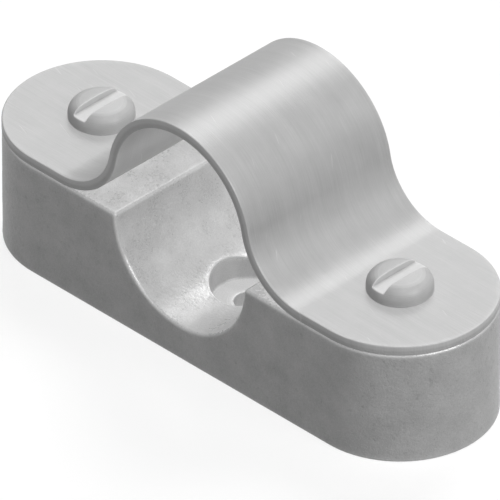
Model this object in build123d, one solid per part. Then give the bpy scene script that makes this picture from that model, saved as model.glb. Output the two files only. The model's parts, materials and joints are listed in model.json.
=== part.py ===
from build123d import *
import math
import os

# Distance saddle for round conduit: a cast base block with a half-round groove and a
# counterbored fixing hole, and a bent sheet strap held down by two slotted pan-head screws.
# Millimetres, +Z up. X runs from screw to screw, Y along the conduit.
# The origin is the middle of the base's flat underside.

# Conduit: its size, how far its groove stands off the wall, and the radial clearances
conduit_diameter = 20.0
wall_stand_off = 4.5
groove_clearance = 0.3
strap_clearance = 0.2

# Base casting
saddle_width = 22.9
base_edge_radius = 0.45
fixing_hole_diameter = 3.7
fixing_hole_depth = 2.25
counterbore_diameter = 9.3
tapped_hole_chamfer = 0.4

# Strap sheet: its arch's centre stands arch_rise above the base's top
strap_thickness = 1.2
arch_rise = 5.7
foot_bend_radius = 8.1
strap_hole_clearance = 0.25
head_to_bend_gap = 0.94

# Slotted pan-head screws: the tip stays tip_to_wall_gap above the base's underside
screw_diameter = 4.0
tip_to_wall_gap = 4.0
tip_chamfer = 0.5
head_diameter = 7.8
head_height = 2.4
head_crown_radius = 20.0
head_side_height = 0.65
head_underside_chamfer = 0.2
slot_width = 1.9
slot_depth = 0.92

# Heights that follow
groove_radius = conduit_diameter / 2 + groove_clearance
base_height = wall_stand_off + groove_radius
strap_top_height = base_height + strap_thickness
arch_center_height = base_height + arch_rise
bend_center_height = strap_top_height + foot_bend_radius

# The arch and each foot bend are circles that touch. On both faces of the sheet their radii
# add up to the same distance between centres, which leans by arch_lean above the horizontal.
arch_inner_radius = conduit_diameter / 2 + strap_clearance
arch_to_bend = arch_inner_radius + strap_thickness + foot_bend_radius
bend_center_x = math.sqrt(arch_to_bend**2 - (bend_center_height - arch_center_height) ** 2)
arch_lean = math.degrees(math.atan2(bend_center_height - arch_center_height, bend_center_x))

# Each screw stands on the flat of its foot, its head clear of the bend
screw_radius = screw_diameter / 2
head_radius = head_diameter / 2
screw_x = bend_center_x + head_to_bend_gap + head_radius
screw_length = strap_top_height - tip_to_wall_gap
screw_places = [-screw_x, screw_x]
saddle_end_x = screw_x + saddle_width / 2

# Cylinders and cones that rise from, or hang below, the plane that they are placed on
UPWARDS = (Align.CENTER, Align.CENTER, Align.MIN)
DOWNWARDS = (Align.CENTER, Align.CENTER, Align.MAX)


def saddle_outline():
    """The slot shape, seen from above, that the base and the strap's feet share."""
    return SlotCenterToCenter(2 * screw_x, saddle_width)


def tapped_hole():
    """Cutter for one screw hole: the thread's major diameter, opened a little at the top."""
    bore = Cylinder(screw_radius, base_height, align=UPWARDS)
    mouth_radius = screw_radius + tapped_hole_chamfer
    mouth = Cone(screw_radius, mouth_radius, tapped_hole_chamfer, align=DOWNWARDS)
    return bore + Pos(0, 0, base_height) * mouth


def base_block():
    """Slot-shaped block with the half-round groove, its top and groove edges rounded as cast."""
    block = extrude(saddle_outline(), base_height)
    groove = Cylinder(groove_radius, saddle_width, rotation=(90, 0, 0))
    block -= Pos(0, 0, base_height) * groove
    edges_off_the_wall = block.edges().filter_by(lambda edge: edge.bounding_box().max.Z > wall_stand_off)
    return fillet(edges_off_the_wall.filter_by(Axis.Z, reverse=True), base_edge_radius)


def make_base():
    """Base casting: a wall screw's head sinks below the groove, the strap screws are tapped in."""
    base = base_block()
    base -= Pos(0, 0, fixing_hole_depth) * Cylinder(counterbore_diameter / 2, base_height, align=UPWARDS)
    base -= Cylinder(fixing_hole_diameter / 2, base_height, align=UPWARDS)
    for x in screw_places:
        base -= Pos(x, 0, 0) * tapped_hole()
    return base


def strap_face_line(height_in_sheet):
    """Line of the bent sheet in the XZ plane: its underside at 0, its upper face at the thickness."""
    arch_radius = arch_inner_radius + height_in_sheet
    bend_radius = foot_bend_radius + strap_thickness - height_in_sheet
    foot_height = base_height + height_in_sheet
    return Curve() + [
        Line((-saddle_end_x, foot_height), (-bend_center_x, foot_height)),
        CenterArc((-bend_center_x, bend_center_height), bend_radius, 270, 90 - arch_lean),
        CenterArc((0, arch_center_height), arch_radius, 180 - arch_lean, 2 * arch_lean - 180),
        CenterArc((bend_center_x, bend_center_height), bend_radius, 180 + arch_lean, 90 - arch_lean),
        Line((bend_center_x, foot_height), (saddle_end_x, foot_height)),
    ]


def make_strap():
    """Strap: one sheet bent over the conduit, cut to the saddle's outline and punched twice."""
    underside = strap_face_line(0)
    upper_face = strap_face_line(strap_thickness)
    ends = [Line(underside @ end, upper_face @ end) for end in (0, 1)]
    section = Plane.XZ * make_face(underside.edges() + upper_face.edges() + ends)
    sheet = extrude(section, saddle_width / 2, both=True)
    strap = sheet & extrude(saddle_outline(), arch_center_height + arch_inner_radius + strap_thickness)
    for x in screw_places:
        hole = Cylinder(screw_radius + strap_hole_clearance, strap_thickness, align=UPWARDS)
        strap -= Pos(x, 0, base_height) * hole
    return strap


def screw_head():
    """Slotted pan head on the plane Z = 0.

    A low crown runs into one round that ends upright at head_side_height. The round touches
    both the crown and the upright side, which gives its radius.
    """
    crown_center = head_height - head_crown_radius
    side_over_crown_center = head_side_height - crown_center
    corner_radius = (head_crown_radius**2 - head_radius**2 - side_over_crown_center**2) / (
        2 * (head_crown_radius - head_radius)
    )
    corner_x = head_radius - corner_radius
    corner_turn = math.degrees(math.atan2(side_over_crown_center, corner_x))

    half_section = make_face(
        [
            Line((0, 0), (head_radius - head_underside_chamfer, 0)),
            Line((head_radius - head_underside_chamfer, 0), (head_radius, head_underside_chamfer)),
            Line((head_radius, head_underside_chamfer), (head_radius, head_side_height)),
            CenterArc((corner_x, head_side_height), corner_radius, 0, corner_turn),
            CenterArc((0, crown_center), head_crown_radius, corner_turn, 90 - corner_turn),
            Line((0, head_height), (0, 0)),
        ]
    )
    head = revolve(Plane.XZ * half_section, Axis.Z)
    slot = Box(slot_width, head_diameter, slot_depth, align=DOWNWARDS)
    return head - Pos(0, 0, head_height) * slot


def make_screw():
    """Slotted pan-head screw, head up, the head's underside on the plane Z = 0."""
    shank = Cylinder(screw_radius, screw_length, align=DOWNWARDS)
    shank = chamfer(shank.edges().group_by(Axis.Z)[0], tip_chamfer)
    return screw_head() + shank


def make_strap_screws():
    """The two strap screws, each a solid of its own."""
    return Compound([Pos(x, 0, strap_top_height) * make_screw() for x in screw_places])


os.makedirs("parts", exist_ok=True)
export_step(make_base(), "parts/base.step")
export_step(make_strap(), "parts/strap.step")
export_step(make_strap_screws(), "parts/strap_screws.step")
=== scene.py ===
import json
import math
import bmesh
import bpy
import numpy as np
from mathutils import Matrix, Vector, noise


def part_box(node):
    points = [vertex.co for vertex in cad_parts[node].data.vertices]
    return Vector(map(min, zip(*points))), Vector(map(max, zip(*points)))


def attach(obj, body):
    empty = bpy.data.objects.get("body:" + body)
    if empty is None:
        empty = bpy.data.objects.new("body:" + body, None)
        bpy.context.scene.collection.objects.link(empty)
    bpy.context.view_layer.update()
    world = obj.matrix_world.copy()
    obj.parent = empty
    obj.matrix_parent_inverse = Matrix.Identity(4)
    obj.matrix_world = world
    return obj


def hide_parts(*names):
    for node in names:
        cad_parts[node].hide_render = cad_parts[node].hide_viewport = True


# Distance saddle for round conduit: cast base, bent strap and two slotted screws.
# Shapes are worked out in millimetres and become metres when their mesh is made.
# Each piece's surface is where its distance function is zero: the function is negative inside
# the material and positive outside it.

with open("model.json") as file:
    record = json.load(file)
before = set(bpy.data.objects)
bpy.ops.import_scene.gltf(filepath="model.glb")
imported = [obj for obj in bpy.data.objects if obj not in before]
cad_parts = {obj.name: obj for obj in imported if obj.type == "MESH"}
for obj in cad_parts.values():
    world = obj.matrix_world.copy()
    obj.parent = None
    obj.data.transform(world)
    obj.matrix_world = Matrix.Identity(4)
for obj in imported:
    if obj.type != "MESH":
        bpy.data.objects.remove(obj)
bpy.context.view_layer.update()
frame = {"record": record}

MM = 0.001


def node_box(name):
    """The lowest and the highest corner of a node of the frame, in millimetres."""
    return [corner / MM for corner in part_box(name)]


# Sizes that the frame gives
MOUNTS = {mount["name"]: mount for mount in frame["record"]["mounts"]}
BASE_BOX = node_box("base")
STRAP_BOX = node_box("strap")
SCREWS_BOX = node_box("strap_screws")
BASE_HEIGHT = BASE_BOX[1].z
OUTLINE_RADIUS = BASE_BOX[1].y
SCREW_X = BASE_BOX[1].x - OUTLINE_RADIUS
GROOVE_RADIUS = MOUNTS["conduit_seat"]["dims"]["r_mm"]
FIXING_HOLE_RADIUS = MOUNTS["fixing_hole"]["dims"]["r_mm"]
FIXING_HOLE_DEPTH = MOUNTS["fixing_hole"]["dims"]["length_mm"]
HEAD_RADIUS = SCREWS_BOX[1].x - SCREW_X

# Base casting
BASE_EDGE_RADIUS = 0.45
UNDERSIDE_EDGE_RADIUS = 0.25
COUNTERBORE_RADIUS = 4.65
COUNTERBORE_CORNER_RADIUS = 0.3
MACHINED_EDGE_RADIUS = 0.12

# Strap sheet: the arch and the foot bends touch each other, and the bends touch the feet
STRAP_THICKNESS = 1.2
STRAP_EDGE_RADIUS = 0.15
STRAP_HOLE_RADIUS = 2.25
ARCH_MIDDLE_RADIUS = 10.8
BEND_MIDDLE_RADIUS = 8.7
ARCH_CENTER_HEIGHT = STRAP_BOX[1].z - ARCH_MIDDLE_RADIUS - STRAP_THICKNESS / 2
BEND_CENTER_HEIGHT = BASE_HEIGHT + STRAP_THICKNESS / 2 + BEND_MIDDLE_RADIUS
ARCH_TO_BEND = ARCH_MIDDLE_RADIUS + BEND_MIDDLE_RADIUS
BEND_CENTER_X = math.sqrt(ARCH_TO_BEND**2 - (BEND_CENTER_HEIGHT - ARCH_CENTER_HEIGHT) ** 2)
ARCH_LEAN = math.atan2(BEND_CENTER_HEIGHT - ARCH_CENTER_HEIGHT, BEND_CENTER_X)

# Screws, from the plane that their heads stand on
STRAP_TOP = BASE_HEIGHT + STRAP_THICKNESS
HEAD_HEIGHT = SCREWS_BOX[1].z - STRAP_TOP
HEAD_CROWN_RADIUS = 20.0
HEAD_SIDE_HEIGHT = 0.65
HEAD_LOWER_EDGE_RADIUS = 0.2
SLOT_WIDTH = 1.9
SLOT_DEPTH = 0.92
SLOT_CORNER_RADIUS = 0.15
SLOT_EDGE_RADIUS = 0.1
SCREW_LENGTH = STRAP_TOP - SCREWS_BOX[0].z
TIP_CHAMFER = 0.5

# Thread: a wave cut flat at its crests and roots. In the tapped holes it is cut only in the
# lowest part, which shows from below, and above that the screws fill them.
THREAD_RADIUS = 2.0
THREAD_PITCH = 0.7
THREAD_DEPTH = 0.4
THREAD_WAVE = 1.3
THREAD_PLAY = 0.04
THREAD_EDGE_RADIUS = 0.04
THREAD_SEEN_HEIGHT = 5.5

# Skin of the casting: broad waves and small lumps, which fade out beside machined faces
CAST_WAVE = 4.5
CAST_WAVE_DEPTH = 0.05
CAST_LUMP = 1.3
CAST_LUMP_DEPTH = 0.03
CAST_FADE = 0.4

# Meshes: the grid has spare places outside the piece, and each step repeats until it settles
SPARE_PLACES = 4
SLOPE_STEP = 0.01
SURFACE_STEPS = 5
EVENING_ROUNDS = 4
HALVING_ROUNDS = 4
SMOOTHING_ROUNDS = 3
SHARP_TURN = math.radians(20)
FULL_EDGE_CURVATURE = 1.5

# The photograph's view: an isometric drawing, with the place that its middle looks at
PHOTO_PIXELS = 500
PIXELS_PER_MM = 8.76
VIEW_BACK = Vector((1, -1, 1)).normalized()
TARGET_PIXEL_UP = 66.81
TARGET_PIXEL_RIGHT = 0.08
LENS = 1600.0
SENSOR = 36.0
CAMERA_REACH = 100

# Light: each sun's direction, its strength, and whether it casts shadows. The suns that don't
# also light the groove below the strap.
BEHIND_LEFT = (-0.345, 0.577, 0.741)
RIGHT = (0.77, 0.07, 0.64)
FRONT = (0.3, -0.6, 0.74)
SUNS = {
    "key": (BEHIND_LEFT, 0.14, True),
    "key_without_shadow": (BEHIND_LEFT, 0.41, False),
    "fill": (RIGHT, 0.08, True),
    "fill_without_shadow": (RIGHT, 0.51, False),
    "front_without_shadow": (FRONT, 0.13, False),
}
SUN_ANGLE = math.radians(30)
WORLD_STRENGTH = 0.15
FLOOR_BOUNCE = 0.22
FLOOR_SIZE = 12
FLOOR_GAP = 0.02

# Mean grey and specular level of each finish, and how metallic the zinc on all of them is,
# also where the cast base has painted light in the groove and on the top faces
CAST_GREY = 0.415
SHEET_GREY = 0.41
SCREW_GREY = 0.42
CAST_SPECULAR = 0.35
SHEET_SPECULAR = 0.3
SCREW_SPECULAR = 0.4
ZINC_METALLIC = 0.12
PAINTED_LIGHT_METALLIC = 0.24


def meet(distances, radius):
    """Distance to the solid that all of these solids share, its convex edges rounded."""
    grown = np.stack(distances) + radius
    outside = np.sqrt(np.square(np.maximum(grown, 0)).sum(axis=0))
    return np.minimum(grown.max(axis=0), 0) + outside - radius


def outline_distance(x, y):
    """Distance from the slot shape, seen from above, that the base and the strap share."""
    return np.hypot(np.maximum(np.abs(x) - SCREW_X, 0), y) - OUTLINE_RADIUS


def thread_radius(x, y, z, crest_radius):
    """Radius of a right-handed screw thread at each point, from crest to root and back."""
    phase = z / THREAD_PITCH - np.arctan2(y, x) / (2 * math.pi)
    height = np.clip(THREAD_WAVE * np.cos(2 * math.pi * phase), -1, 1)
    return crest_radius - THREAD_DEPTH * (1 - height) / 2


def block_distance(x, y, z):
    """The cast block before any hole is made in it."""
    groove = GROOVE_RADIUS - np.hypot(x, z - BASE_HEIGHT)
    block = meet([outline_distance(x, y), z - BASE_HEIGHT, groove], BASE_EDGE_RADIUS)
    return meet([block, -z], UNDERSIDE_EDGE_RADIUS)


def with_holes(block, x, y, z, tapped_radius):
    """The block after the counterbore, the fixing hole and the two tapped holes are cut."""
    from_axis = np.hypot(x, y)
    above_floor = FIXING_HOLE_DEPTH - z
    counterbore = meet([from_axis - COUNTERBORE_RADIUS, above_floor], COUNTERBORE_CORNER_RADIUS)
    tapped = tapped_radius - np.hypot(np.abs(x) - SCREW_X, y)
    return meet([block, -counterbore, FIXING_HOLE_RADIUS - from_axis, tapped], MACHINED_EDGE_RADIUS)


def plain_base_distance(x, y, z):
    """The base, its tapped holes without thread."""
    return with_holes(block_distance(x, y, z), x, y, z, THREAD_RADIUS)


def base_distance(x, y, z):
    """The base, its tapped holes threaded where they show."""
    from_screw_x = x - np.copysign(SCREW_X, x)
    tapped_radius = thread_radius(from_screw_x, y, z - STRAP_TOP, THREAD_RADIUS)
    seen = np.clip(THREAD_SEEN_HEIGHT - z, 0, 1)
    tapped_radius = THREAD_RADIUS + seen * (tapped_radius - THREAD_RADIUS)
    return with_holes(block_distance(x, y, z), x, y, z, tapped_radius)


def by_part(x, z, arch, bend, foot):
    """The arch's, the bend's or the foot's value, by the part of the strap that each place is in."""
    rise = BEND_CENTER_HEIGHT - ARCH_CENTER_HEIGHT
    centers_line = ARCH_CENTER_HEIGHT + rise * np.abs(x) / BEND_CENTER_X
    return np.where(np.abs(x) > BEND_CENTER_X, foot, np.where(z > centers_line, arch, bend))


def height_in_sheet(x, z):
    """Height above the middle of the bent sheet."""
    arch = np.hypot(x, z - ARCH_CENTER_HEIGHT) - ARCH_MIDDLE_RADIUS
    bend = BEND_MIDDLE_RADIUS - np.hypot(np.abs(x) - BEND_CENTER_X, z - BEND_CENTER_HEIGHT)
    foot = z - BASE_HEIGHT - STRAP_THICKNESS / 2
    return by_part(x, z, arch, bend, foot)


def strap_distance(x, y, z):
    """The bent sheet, cut to the shared outline and punched twice."""
    sheet = np.abs(height_in_sheet(x, z)) - STRAP_THICKNESS / 2
    hole = STRAP_HOLE_RADIUS - np.hypot(np.abs(x) - SCREW_X, y)
    return meet([sheet, outline_distance(x, y), hole], STRAP_EDGE_RADIUS)


def slot_distance(x, z):
    """Distance from the slot that is cut into a screw's head."""
    return meet([np.abs(x) - SLOT_WIDTH / 2, HEAD_HEIGHT - SLOT_DEPTH - z], SLOT_CORNER_RADIUS)


def head_distance(x, y, z):
    """Slotted pan head on the plane Z = 0: a low crown, one round and an upright side."""
    crown_center = HEAD_HEIGHT - HEAD_CROWN_RADIUS
    side_over_crown_center = HEAD_SIDE_HEIGHT - crown_center
    corner_radius = (HEAD_CROWN_RADIUS**2 - HEAD_RADIUS**2 - side_over_crown_center**2) / (
        2 * (HEAD_CROWN_RADIUS - HEAD_RADIUS)
    )
    corner_x = HEAD_RADIUS - corner_radius
    from_axis = np.hypot(x, y)
    crown = np.hypot(from_axis, z - crown_center) - HEAD_CROWN_RADIUS
    corner = np.hypot(from_axis - corner_x, z - HEAD_SIDE_HEIGHT) - corner_radius
    past_corner = (z - crown_center) * corner_x > from_axis * side_over_crown_center
    upper = np.where(past_corner, crown, corner)
    side = np.where(z < HEAD_SIDE_HEIGHT, from_axis - HEAD_RADIUS, upper)
    head = meet([side, -z], HEAD_LOWER_EDGE_RADIUS)
    return meet([head, -slot_distance(x, z)], SLOT_EDGE_RADIUS)


def screw_distance(x, y, z):
    """Head and threaded shank. The shank's upper end is inside the head."""
    from_axis = np.hypot(x, y)
    thread = from_axis - thread_radius(x, y, z, THREAD_RADIUS - THREAD_PLAY)
    below_tip = -z - SCREW_LENGTH
    chamfer = (from_axis - THREAD_RADIUS + TIP_CHAMFER + below_tip) / math.sqrt(2)
    above_shank = z - HEAD_SIDE_HEIGHT
    shank = meet([thread, below_tip, chamfer, above_shank], THREAD_EDGE_RADIUS)
    return np.minimum(head_distance(x, y, z), shank)


def slopes(distance, points):
    """How fast the distance grows along each axis, at each point."""
    steps = SLOPE_STEP * np.eye(3)
    rises = [distance(*(points + step).T) - distance(*(points - step).T) for step in steps]
    return np.stack(rises, axis=1) / (2 * SLOPE_STEP)


def onto_surface(distance, points, reach):
    """The points, each moved to where the distance is zero, by at most the reach in each step."""
    for _ in range(SURFACE_STEPS):
        slope = slopes(distance, points)
        move = slope * (distance(*points.T) / np.square(slope).sum(axis=1))[:, None]
        far = np.linalg.norm(move, axis=1)[:, None] / reach
        points = points - move / np.maximum(far, 1)
    return points


def grid_axes(lowest, highest, cell):
    """Evenly spaced places along each axis, the first and the last of them outside the box."""
    axes = []
    for low, high in zip(lowest, highest):
        count = int((high - low) / cell) + SPARE_PLACES
        start = (low + high - (count - 1) * cell) / 2
        axes.append(start + cell * np.arange(count))
    return axes


def crossing_quads(inside, cell_number, axis):
    """A quad for each step of the grid along this axis that crosses the surface.

    It joins the four cells around that step and faces out of the material.
    """
    steps = np.eye(3, dtype=int)
    one = steps[(axis + 1) % 3]
    two = steps[(axis + 2) % 3]
    along_axis = np.moveaxis(inside, axis, 0)
    crossed = np.argwhere(np.moveaxis(along_axis[1:] != along_axis[:-1], 0, axis))
    offsets = (0 * one, one, one + two, two)
    quads = np.stack([cell_number[tuple((crossed - offset).T)] for offset in offsets], axis=1)
    starts_inside = inside[tuple(crossed.T)]
    return np.where(starts_inside[:, None], quads, quads[:, ::-1])


def surface_net(distance, lowest, highest, cell):
    """Points and quads of a closed net: one point in each cell that the surface crosses."""
    axes = grid_axes(lowest, highest, cell)
    counts = [len(axis) for axis in axes]
    corners = np.stack(np.meshgrid(*axes, indexing="ij"), axis=-1).reshape(-1, 3)
    inside = (distance(*corners.T) < 0).reshape(counts)
    corners_inside = sum(
        inside[i : counts[0] - 1 + i, j : counts[1] - 1 + j, k : counts[2] - 1 + k].astype(int)
        for i in (0, 1) for j in (0, 1) for k in (0, 1)
    )
    cells = np.argwhere((corners_inside > 0) & (corners_inside < 8))
    cell_number = np.full(corners_inside.shape, -1)
    cell_number[tuple(cells.T)] = np.arange(len(cells))
    points = np.array([axis[0] for axis in axes]) + cell * (cells + 0.5)
    quads = [crossing_quads(inside, cell_number, axis) for axis in range(3)]
    return points, np.concatenate(quads)


def edge_ends(bm):
    """The numbers of the two points of each edge."""
    ends = np.array([[v.index for v in edge.verts] for edge in bm.edges])
    return ends[:, 0], ends[:, 1]


def mean_at_points(for_one, for_two, ends, point_count):
    """The mean, at each point, of what its edges give to the one and the other of their ends."""
    total = np.zeros((point_count, *for_one.shape[1:]))
    count = np.zeros(point_count)
    for here, given in zip(ends, (for_one, for_two)):
        np.add.at(total, here, given)
        np.add.at(count, here, 1)
    return (total.T / count).T


def neighbour_mean(values, ends):
    """The mean, at each point, of the values at the points that it has an edge to."""
    one, two = ends
    return mean_at_points(values[two], values[one], ends, len(values))


def even_out(distance, points, ends, reach):
    """Evens out the spacing of the points along the surface."""
    return onto_surface(distance, (points + neighbour_mean(points, ends)) / 2, reach)


def get_points(bm):
    return np.array([v.co for v in bm.verts])


def set_points(bm, points):
    for vertex, point in zip(bm.verts, points):
        vertex.co = point


def unit(vectors):
    return vectors / np.linalg.norm(vectors, axis=1)[:, None]


def net_mesh(points, quads):
    bm = bmesh.new()
    verts = [bm.verts.new(point) for point in points]
    for quad in quads:
        bm.faces.new([verts[i] for i in quad]).smooth = True
    bm.verts.index_update()
    return bm


def split_sharp_edges(bm, distance, finest):
    """Halves the edges along which the surface turns sharply. False when none was left to halve."""
    points = get_points(bm)
    normals = unit(slopes(distance, points))
    one, two = edge_ends(bm)
    turned = (normals[one] * normals[two]).sum(axis=1) < math.cos(SHARP_TURN)
    long = np.linalg.norm(points[one] - points[two], axis=1) > finest
    edges = [edge for edge, split in zip(bm.edges, turned & long) if split]
    if edges:
        bmesh.ops.subdivide_edges(bm, edges=edges, cuts=1, use_grid_fill=True)
        bmesh.ops.triangulate(bm, faces=[face for face in bm.faces if len(face.verts) > 4])
        bm.verts.index_update()
        set_points(bm, onto_surface(distance, get_points(bm), finest))
    return bool(edges)


def fine_net(distance, plain_distance, box, cell, finest):
    """A closed net on the surface, its edges halved where the surface turns sharply.

    It starts on the plain distance, which leaves out what is finer than the cells.
    """
    points, quads = surface_net(plain_distance, *box, cell)
    bm = net_mesh(points, quads)
    ends = edge_ends(bm)
    points = onto_surface(plain_distance, points, cell / 2)
    for _ in range(EVENING_ROUNDS):
        points = even_out(plain_distance, points, ends, cell / 2)
    set_points(bm, onto_surface(distance, points, cell / 4))
    for _ in range(HALVING_ROUNDS):
        if not split_sharp_edges(bm, distance, finest):
            break
    return bm


def curvature(points, normals, ends):
    """How much the surface bends at each point: positive on edges, negative in corners."""
    one, two = ends
    along = points[two] - points[one]
    bend = ((normals[two] - normals[one]) * along).sum(axis=1) / np.square(along).sum(axis=1)
    return mean_at_points(bend, bend, ends, len(points))


def edge_attributes(points, normals, ends):
    """How much each point is on an edge, and in a corner, from 0 to 1."""
    bend = curvature(points, normals, ends) / FULL_EDGE_CURVATURE
    attributes = {"edge": np.clip(bend, 0, 1), "corner": np.clip(-bend, 0, 1)}
    for _ in range(SMOOTHING_ROUNDS):
        for key, values in attributes.items():
            attributes[key] = (values + neighbour_mean(values, ends)) / 2
    return attributes


def sunk(points, normals, relief):
    """The points and normals after the relief, a depth below the smooth surface, is cut in."""
    depth = relief(points)
    rises = [relief(points + SLOPE_STEP * axis) - depth for axis in np.eye(3)]
    slope = np.stack(rises, axis=1) / SLOPE_STEP
    slope -= normals * (slope * normals).sum(axis=1)[:, None]
    return points - normals * depth[:, None], unit(normals + slope)


def to_mesh(name, bm, points, normals, attributes):
    set_points(bm, points * MM)
    mesh = bpy.data.meshes.new(name)
    bm.to_mesh(mesh)
    bm.free()
    mesh.normals_split_custom_set_from_vertices(normals.tolist())
    for key, values in attributes.items():
        attribute = mesh.attributes.new(key, "FLOAT", "POINT")
        attribute.data.foreach_set("value", values.astype(np.float32))
    return mesh


def make_piece(name, distance, box, cell, finest, marks, plain_distance=None, relief=None):
    """A fine mesh of the solid. Its attributes tell the material where edges and marks are."""
    bm = fine_net(distance, plain_distance or distance, box, cell, finest)
    ends = edge_ends(bm)
    points = even_out(distance, get_points(bm), ends, finest)
    normals = unit(slopes(distance, points))
    attributes = edge_attributes(points, normals, ends)
    for key, mark in marks.items():
        attributes[key] = mark(*points.T)
    if relief:
        points, normals = sunk(points, normals, relief)
    return to_mesh(name, bm, points, normals, attributes)


def lumps(points, size):
    """Soft noise from about 0 to 1, its lumps about as wide as the size."""
    return 0.5 + 0.5 * np.array([noise.noise(Vector(point) / size) for point in points])


def from_holes(x, y):
    """Distance, seen from above, from the counterbore and from the nearer tapped hole."""
    from_counterbore = np.hypot(x, y) - COUNTERBORE_RADIUS
    from_tapped_hole = np.hypot(np.abs(x) - SCREW_X, y) - THREAD_RADIUS
    return np.minimum(from_counterbore, from_tapped_hole)


def cast_relief(points):
    """Depth of the casting's uneven skin. Machined faces and the underside have none."""
    x, y, z = points.T
    depth = CAST_WAVE_DEPTH * lumps(points, CAST_WAVE) + CAST_LUMP_DEPTH * lumps(points, CAST_LUMP)
    return depth * np.clip(np.minimum(from_holes(x, y), z) / CAST_FADE, 0, 1)


def machined(x, y, z):
    """1 on the counterbore and the holes, 0 on the cast skin."""
    return np.clip(1 - from_holes(x, y) / MACHINED_EDGE_RADIUS, 0, 1)


def groove_and_top_painted_light(x, y, z):
    """1 in the groove and on the top faces, where painted light lifts the shade below the strap, 0
    elsewhere.
    """
    below_them = np.minimum(np.hypot(x, z - BASE_HEIGHT) - GROOVE_RADIUS, BASE_HEIGHT - z)
    return np.clip(1 - below_them / BASE_EDGE_RADIUS, 0, 1)


def along_sheet(x, y, z):
    """How far along the bent sheet each point is from the top of the arch."""
    from_top = np.arctan2(np.abs(x), z - ARCH_CENTER_HEIGHT)
    from_foot = np.arctan2(BEND_CENTER_X - np.abs(x), BEND_CENTER_HEIGHT - z)
    arch_length = ARCH_MIDDLE_RADIUS * (math.pi / 2 - ARCH_LEAN)
    bend_length = BEND_MIDDLE_RADIUS * (math.pi / 2 - ARCH_LEAN)
    arch = ARCH_MIDDLE_RADIUS * from_top
    bend = arch_length + bend_length - BEND_MIDDLE_RADIUS * from_foot
    foot = arch_length + bend_length + np.abs(x) - BEND_CENTER_X
    return by_part(x, z, arch, bend, foot) * np.sign(x)


def height_in_strap(x, y, z):
    """Height above the middle of the bent sheet, as a part of its thickness."""
    return height_in_sheet(x, z) / STRAP_THICKNESS


def cut_face(x, y, z):
    """1 on the sheet's cut edges and in its holes, 0 on its rolled faces."""
    below_face = STRAP_THICKNESS / 2 - np.abs(height_in_sheet(x, z))
    return np.clip(below_face / STRAP_EDGE_RADIUS, 0, 1)


def milled_and_painted_light(x, y, z):
    """1 in the slot of a screw's head, where it has milling lines and painted light, 0 on the rest
    of the screw.
    """
    return np.clip(1 - slot_distance(x, z) / SLOT_EDGE_RADIUS, 0, 1)


class Nodes:
    """A node tree that grows node by node. An input is a plain value or another node's output."""

    def __init__(self, tree):
        self.tree = tree

    def put(self, value, socket):
        if isinstance(value, bpy.types.NodeSocket):
            self.tree.links.new(value, socket)
        else:
            socket.default_value = value

    def add(self, kind, inputs=(), output=0, **settings):
        """Adds a node and gives one of its outputs, or all of them when output is None."""
        node = self.tree.nodes.new("ShaderNode" + kind)
        for key, value in settings.items():
            setattr(node, key, value)
        for key, value in dict(inputs).items():
            self.put(value, node.inputs[key])
        return node.outputs if output is None else node.outputs[output]

    def sum(self, *values):
        total = values[0]
        for value in values[1:]:
            total = self.add("Math", {0: total, 1: value}, operation="ADD")
        return total

    def product(self, one, two):
        return self.add("Math", {0: one, 1: two}, operation="MULTIPLY")

    def span(self, value, start, end, low, high):
        """A number that goes from low to high as the value goes from start to end."""
        ends = {"From Min": start, "From Max": end, "To Min": low, "To Max": high}
        return self.add("MapRange", {"Value": value, **ends})

    def grey(self, value):
        return self.add("CombineColor", {"Red": value, "Green": value, "Blue": value})

    def white_when_seen(self, strength):
        """1 for the camera, mirrors and glass, and the strength for the light it gives."""
        rays = ("Is Camera Ray", "Is Glossy Ray", "Is Transmission Ray")
        seen = self.sum(*[self.add("LightPath", output=ray) for ray in rays])
        return self.span(seen, 0, 1, strength, 1)


class Finish(Nodes):
    """The nodes of one material."""

    def __init__(self, name):
        self.material = bpy.data.materials.new(name)
        self.material.use_nodes = True
        super().__init__(self.material.node_tree)
        self.shader = self.tree.nodes["Principled BSDF"]

    def attribute(self, name):
        return self.add("Attribute", output="Fac", attribute_name=name)

    def spot(self):
        """The place on the piece, in millimetres."""
        place = self.add("TexCoord", output="Object")
        return self.add("VectorMath", {0: place, "Scale": 1 / MM}, operation="SCALE")

    def noise(self, place, size, detail=2.0, roughness=0.5):
        """Soft noise from about 0 to 1, its blobs about as wide as the size in millimetres."""
        inputs = {"Vector": place, "Scale": 1 / size, "Detail": detail, "Roughness": roughness}
        return self.span(self.add("TexNoise", inputs), 0.25, 0.75, 0, 1)

    def around(self, value, swing):
        """A number from minus to plus the swing as the value goes from 0 to 1."""
        return self.span(value, 0, 1, -swing, swing)

    def without(self, value):
        """1 where the value is 0, and 0 where it is 1."""
        return self.span(value, 0, 1, 1, 0)

    def bump(self, height, depth):
        """Normals of a surface that rises by the depth, in millimetres, as the height goes to 1."""
        return self.add("Bump", {"Height": height, "Strength": 1.0, "Distance": depth * MM})

    def rings(self, spot, pitch):
        """Fine uneven rings around the piece's upright axis, as a turning tool leaves them."""
        x, y, z = self.add("SeparateXYZ", {0: spot}, output=None)
        squares = self.sum(self.product(x, x), self.product(y, y))
        from_axis = self.add("Math", {0: squares, 1: 0.5}, operation="POWER")
        return self.noise(self.add("CombineXYZ", {"X": from_axis, "Y": z}), size=pitch, detail=1.0)

    def done(self, **inputs):
        """Sets the shader's inputs and gives the material."""
        for key, value in inputs.items():
            self.put(value, self.shader.inputs[key.replace("_", " ")])
        return self.material


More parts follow.
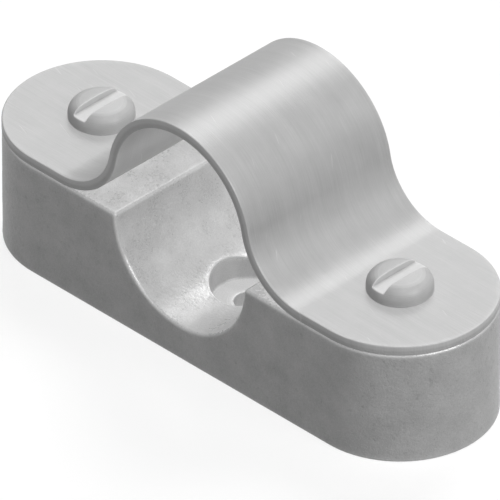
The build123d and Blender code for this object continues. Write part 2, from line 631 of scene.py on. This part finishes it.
def cast_material():
    """Galvanised cast iron: a dull, clouded, grainy skin with turned holes, brighter along its edges
    (edge wear and a painted highlight), and painted light lifting the shade in the groove and on the
    top faces."""
    finish = Finish("galvanised_casting")
    spot = finish.spot()
    edge = finish.attribute("edge")
    corner = finish.attribute("corner")
    cut = finish.attribute("machined")
    painted_light_mask = finish.attribute("groove_and_top_painted_light")
    skin = finish.without(cut)
    clouds = finish.noise(spot, size=4.0, detail=5.0, roughness=0.6)
    grain = finish.noise(spot, size=0.42, detail=4.0, roughness=0.6)
    speckle = finish.noise(spot, size=0.16)
    blotches = finish.noise(spot, size=0.8, detail=3.0, roughness=0.6)
    pits = finish.span(blotches, 0.05, 0.3, 1, 0)
    rings = finish.rings(spot, pitch=0.2)

    shade = finish.sum(
        CAST_GREY,
        finish.around(clouds, 0.06),
        finish.around(speckle, 0.042),
        # edge wear and a painted highlight along the edges
        finish.product(edge, 0.1),
        finish.product(corner, -0.05),
        finish.product(cut, 0.08),
        finish.product(finish.product(pits, skin), -0.06),
        # painted light: lifts the shade in the groove and on the top faces below the strap
        finish.product(painted_light_mask, 0.12),
    )
    rough = finish.sum(
        finish.span(clouds, 0, 1, 0.37, 0.49),
        finish.around(grain, 0.05),
        finish.product(edge, -0.06),
        finish.product(cut, -0.08),
        finish.product(painted_light_mask, -0.12),
    )
    cast_grain = finish.sum(grain, finish.product(speckle, 0.25), finish.product(pits, -0.6))
    tool_marks = finish.product(rings, 0.25)
    smoothed_grain = finish.product(cast_grain, finish.span(painted_light_mask, 0, 1, 1, 0.45))
    height = finish.sum(finish.product(smoothed_grain, skin), finish.product(tool_marks, cut))
    return finish.done(
        Base_Color=finish.grey(shade),
        Metallic=finish.span(painted_light_mask, 0, 1, ZINC_METALLIC, PAINTED_LIGHT_METALLIC),
        Roughness=rough,
        Specular_IOR_Level=CAST_SPECULAR,
        Normal=finish.bump(height, depth=0.042),
    )


def sheet_material():
    """Zinc-plated sheet steel: fine rolling lines along the strap, faint clouds and scratches,
    sheared edges, edges brightened by wear and a painted highlight, and painted light on the inner
    face."""
    finish = Finish("plated_sheet")
    spot = finish.spot()
    edge = finish.attribute("edge")
    cut = finish.attribute("cut_face")
    along = finish.attribute("along_sheet")
    sheet_height = finish.attribute("height_in_strap")
    inner_painted_light = finish.span(sheet_height, -0.42, -0.5, 0, 1)
    sheared = finish.span(sheet_height, -0.1, 0.15, 0, 1)
    x, across, z = finish.add("SeparateXYZ", {0: spot}, output=None)

    rolled = finish.add("CombineXYZ", {"X": finish.product(along, 0.025), "Y": across})
    lines = finish.noise(rolled, size=0.14, detail=3.0, roughness=0.6)
    bands = finish.noise(rolled, size=1.3)
    clouds = finish.noise(spot, size=6.0, detail=4.0, roughness=0.6)
    fine = finish.noise(spot, size=0.3)
    slanted = finish.sum(across, finish.product(along, 0.35))
    scratched = finish.add("CombineXYZ", {"X": finish.product(along, 0.1), "Y": slanted})
    scratches = finish.span(finish.noise(scratched, size=0.5, detail=1.0), 0.93, 1.0, 0, 1)

    shade = finish.sum(
        SHEET_GREY,
        finish.around(lines, 0.03),
        finish.around(bands, 0.015),
        finish.around(clouds, 0.025),
        # edge wear and a painted highlight along the edges
        finish.product(edge, 0.05),
        finish.product(scratches, 0.06),
        # painted light: lifts the shade on the strap's inner face
        finish.product(inner_painted_light, 0.08),
        finish.product(cut, finish.product(sheared, 0.08)),
    )
    rough = finish.sum(
        finish.span(lines, 0, 1, 0.38, 0.48),
        finish.around(clouds, 0.04),
        finish.product(cut, finish.span(sheared, 0, 1, 0.12, -0.02)),
    )
    rolled_face = finish.sum(lines, finish.product(fine, 0.4), finish.product(scratches, -1.0))
    torn_face = finish.product(fine, finish.span(sheared, 0, 1, 4.0, 0.5))
    height = finish.sum(
        finish.product(rolled_face, finish.without(cut)),
        finish.product(torn_face, cut),
    )
    return finish.done(
        Base_Color=finish.grey(shade),
        Metallic=ZINC_METALLIC,
        Roughness=rough,
        Specular_IOR_Level=SHEET_SPECULAR,
        Normal=finish.bump(height, depth=0.008),
    )


def screw_material():
    """Zinc-plated steel: turning rings on the head and the shank, milling lines and painted light in
    the slot.
    """
    finish = Finish("zinc_plated_screw")
    spot = finish.spot()
    edge = finish.attribute("edge")
    corner = finish.attribute("corner")
    slot = finish.attribute("milled_and_painted_light")
    x, along_slot, z = finish.add("SeparateXYZ", {0: spot}, output=None)
    cutter_path = finish.add("CombineXYZ", {"X": x, "Y": finish.product(along_slot, 0.05), "Z": z})
    rings = finish.rings(spot, pitch=0.14)
    lines = finish.noise(cutter_path, size=0.12)
    tool_marks = finish.sum(
        finish.product(rings, finish.without(slot)),
        finish.product(lines, slot),
    )
    clouds = finish.noise(spot, size=1.4, detail=3.0)
    fine = finish.noise(spot, size=0.12, detail=1.0)

    shade = finish.sum(
        SCREW_GREY,
        finish.around(tool_marks, 0.025),
        finish.around(clouds, 0.03),
        # edge wear and a painted highlight along the edges
        finish.product(edge, 0.06),
        finish.product(corner, -0.12),
        # painted light: lifts the shade in the slot
        finish.product(slot, 0.12),
    )
    rough = finish.sum(finish.span(clouds, 0, 1, 0.5, 0.6), finish.product(edge, -0.06))
    height = finish.sum(tool_marks, finish.product(fine, 0.4))
    return finish.done(
        Base_Color=finish.grey(shade),
        Metallic=ZINC_METALLIC,
        Roughness=rough,
        Specular_IOR_Level=SCREW_SPECULAR,
        Normal=finish.bump(height, depth=0.006),
    )


def floor_material():
    """A dull floor that looks white and throws little light back at the part."""
    finish = Finish("floor")
    white = finish.grey(finish.white_when_seen(FLOOR_BOUNCE))
    return finish.done(Base_Color=white, Roughness=1, Specular_IOR_Level=0)


def make_floor():
    bpy.ops.mesh.primitive_plane_add(size=FLOOR_SIZE)
    floor = bpy.context.object
    floor.name = "floor"
    floor.location.z = -FLOOR_GAP * MM
    floor.data.materials.append(floor_material())


def soft_sun(name, towards, strength, shadow):
    data = bpy.data.lights.new(name, "SUN")
    data.energy = strength * math.pi
    data.angle = SUN_ANGLE
    data.use_shadow = shadow
    light = bpy.data.objects.new(name, data)
    light.rotation_mode = "QUATERNION"
    light.rotation_quaternion = Vector(towards).to_track_quat("Z", "Y")
    bpy.context.scene.collection.objects.link(light)


def make_suns():
    for name, (towards, strength, shadow) in SUNS.items():
        soft_sun(name, towards, strength, shadow)


def make_world():
    """A world that looks white and gives an even, weak light."""
    world = bpy.data.worlds.new("world")
    world.use_nodes = True
    nodes = Nodes(world.node_tree)
    background = world.node_tree.nodes["Background"]
    nodes.put((1, 1, 1, 1), background.inputs["Color"])
    nodes.put(nodes.white_when_seen(WORLD_STRENGTH), background.inputs["Strength"])
    bpy.context.scene.world = world


def make_camera():
    data = bpy.data.cameras.new("camera")
    data.lens = LENS
    data.sensor_width = SENSOR
    data.clip_end = CAMERA_REACH
    camera = bpy.data.objects.new("camera", data)
    bpy.context.scene.collection.objects.link(camera)
    turn = (-VIEW_BACK).to_track_quat("-Z", "Y")
    right = turn @ Vector((1, 0, 0))
    up = turn @ Vector((0, 1, 0))
    target = (right * TARGET_PIXEL_RIGHT + up * TARGET_PIXEL_UP) * MM / PIXELS_PER_MM
    distance = PHOTO_PIXELS * MM / PIXELS_PER_MM * LENS / SENSOR
    camera.rotation_mode = "QUATERNION"
    camera.rotation_quaternion = turn
    camera.location = target + VIEW_BACK * distance
    bpy.context.scene.camera = camera


def add_piece(name, mesh, replaced, material, place=(0, 0, 0)):
    piece = bpy.data.objects.new(name, mesh)
    bpy.context.scene.collection.objects.link(piece)
    piece.location = Vector(place) * MM
    mesh.materials.clear()
    mesh.materials.append(material)
    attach(piece, "root")
    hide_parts(replaced)


def add_base():
    mesh = make_piece(
        "cast_base", base_distance, BASE_BOX, cell=0.5, finest=0.1,
        marks={"machined": machined, "groove_and_top_painted_light": groove_and_top_painted_light},
        plain_distance=plain_base_distance, relief=cast_relief,
    )
    add_piece("cast_base", mesh, "base", cast_material())


def add_strap():
    mesh = make_piece(
        "bent_strap", strap_distance, STRAP_BOX, cell=0.4, finest=0.1,
        marks={"along_sheet": along_sheet, "height_in_strap": height_in_strap, "cut_face": cut_face},
    )
    add_piece("bent_strap", mesh, "strap", sheet_material())


def add_screws():
    box = [(-HEAD_RADIUS, -HEAD_RADIUS, -SCREW_LENGTH), (HEAD_RADIUS, HEAD_RADIUS, HEAD_HEIGHT)]
    mesh = make_piece(
        "strap_screw", screw_distance, box, cell=0.16, finest=0.05, marks={"milled_and_painted_light": milled_and_painted_light}
    )
    material = screw_material()
    for side, x in (("left", -SCREW_X), ("right", SCREW_X)):
        place = (x, 0, STRAP_TOP)
        add_piece("strap_screw_" + side, mesh, "strap_screws", material, place)


make_camera()
make_floor()
make_suns()
make_world()
add_base()
add_strap()
add_screws()

bpy.context.scene.view_settings.view_transform = "Standard"
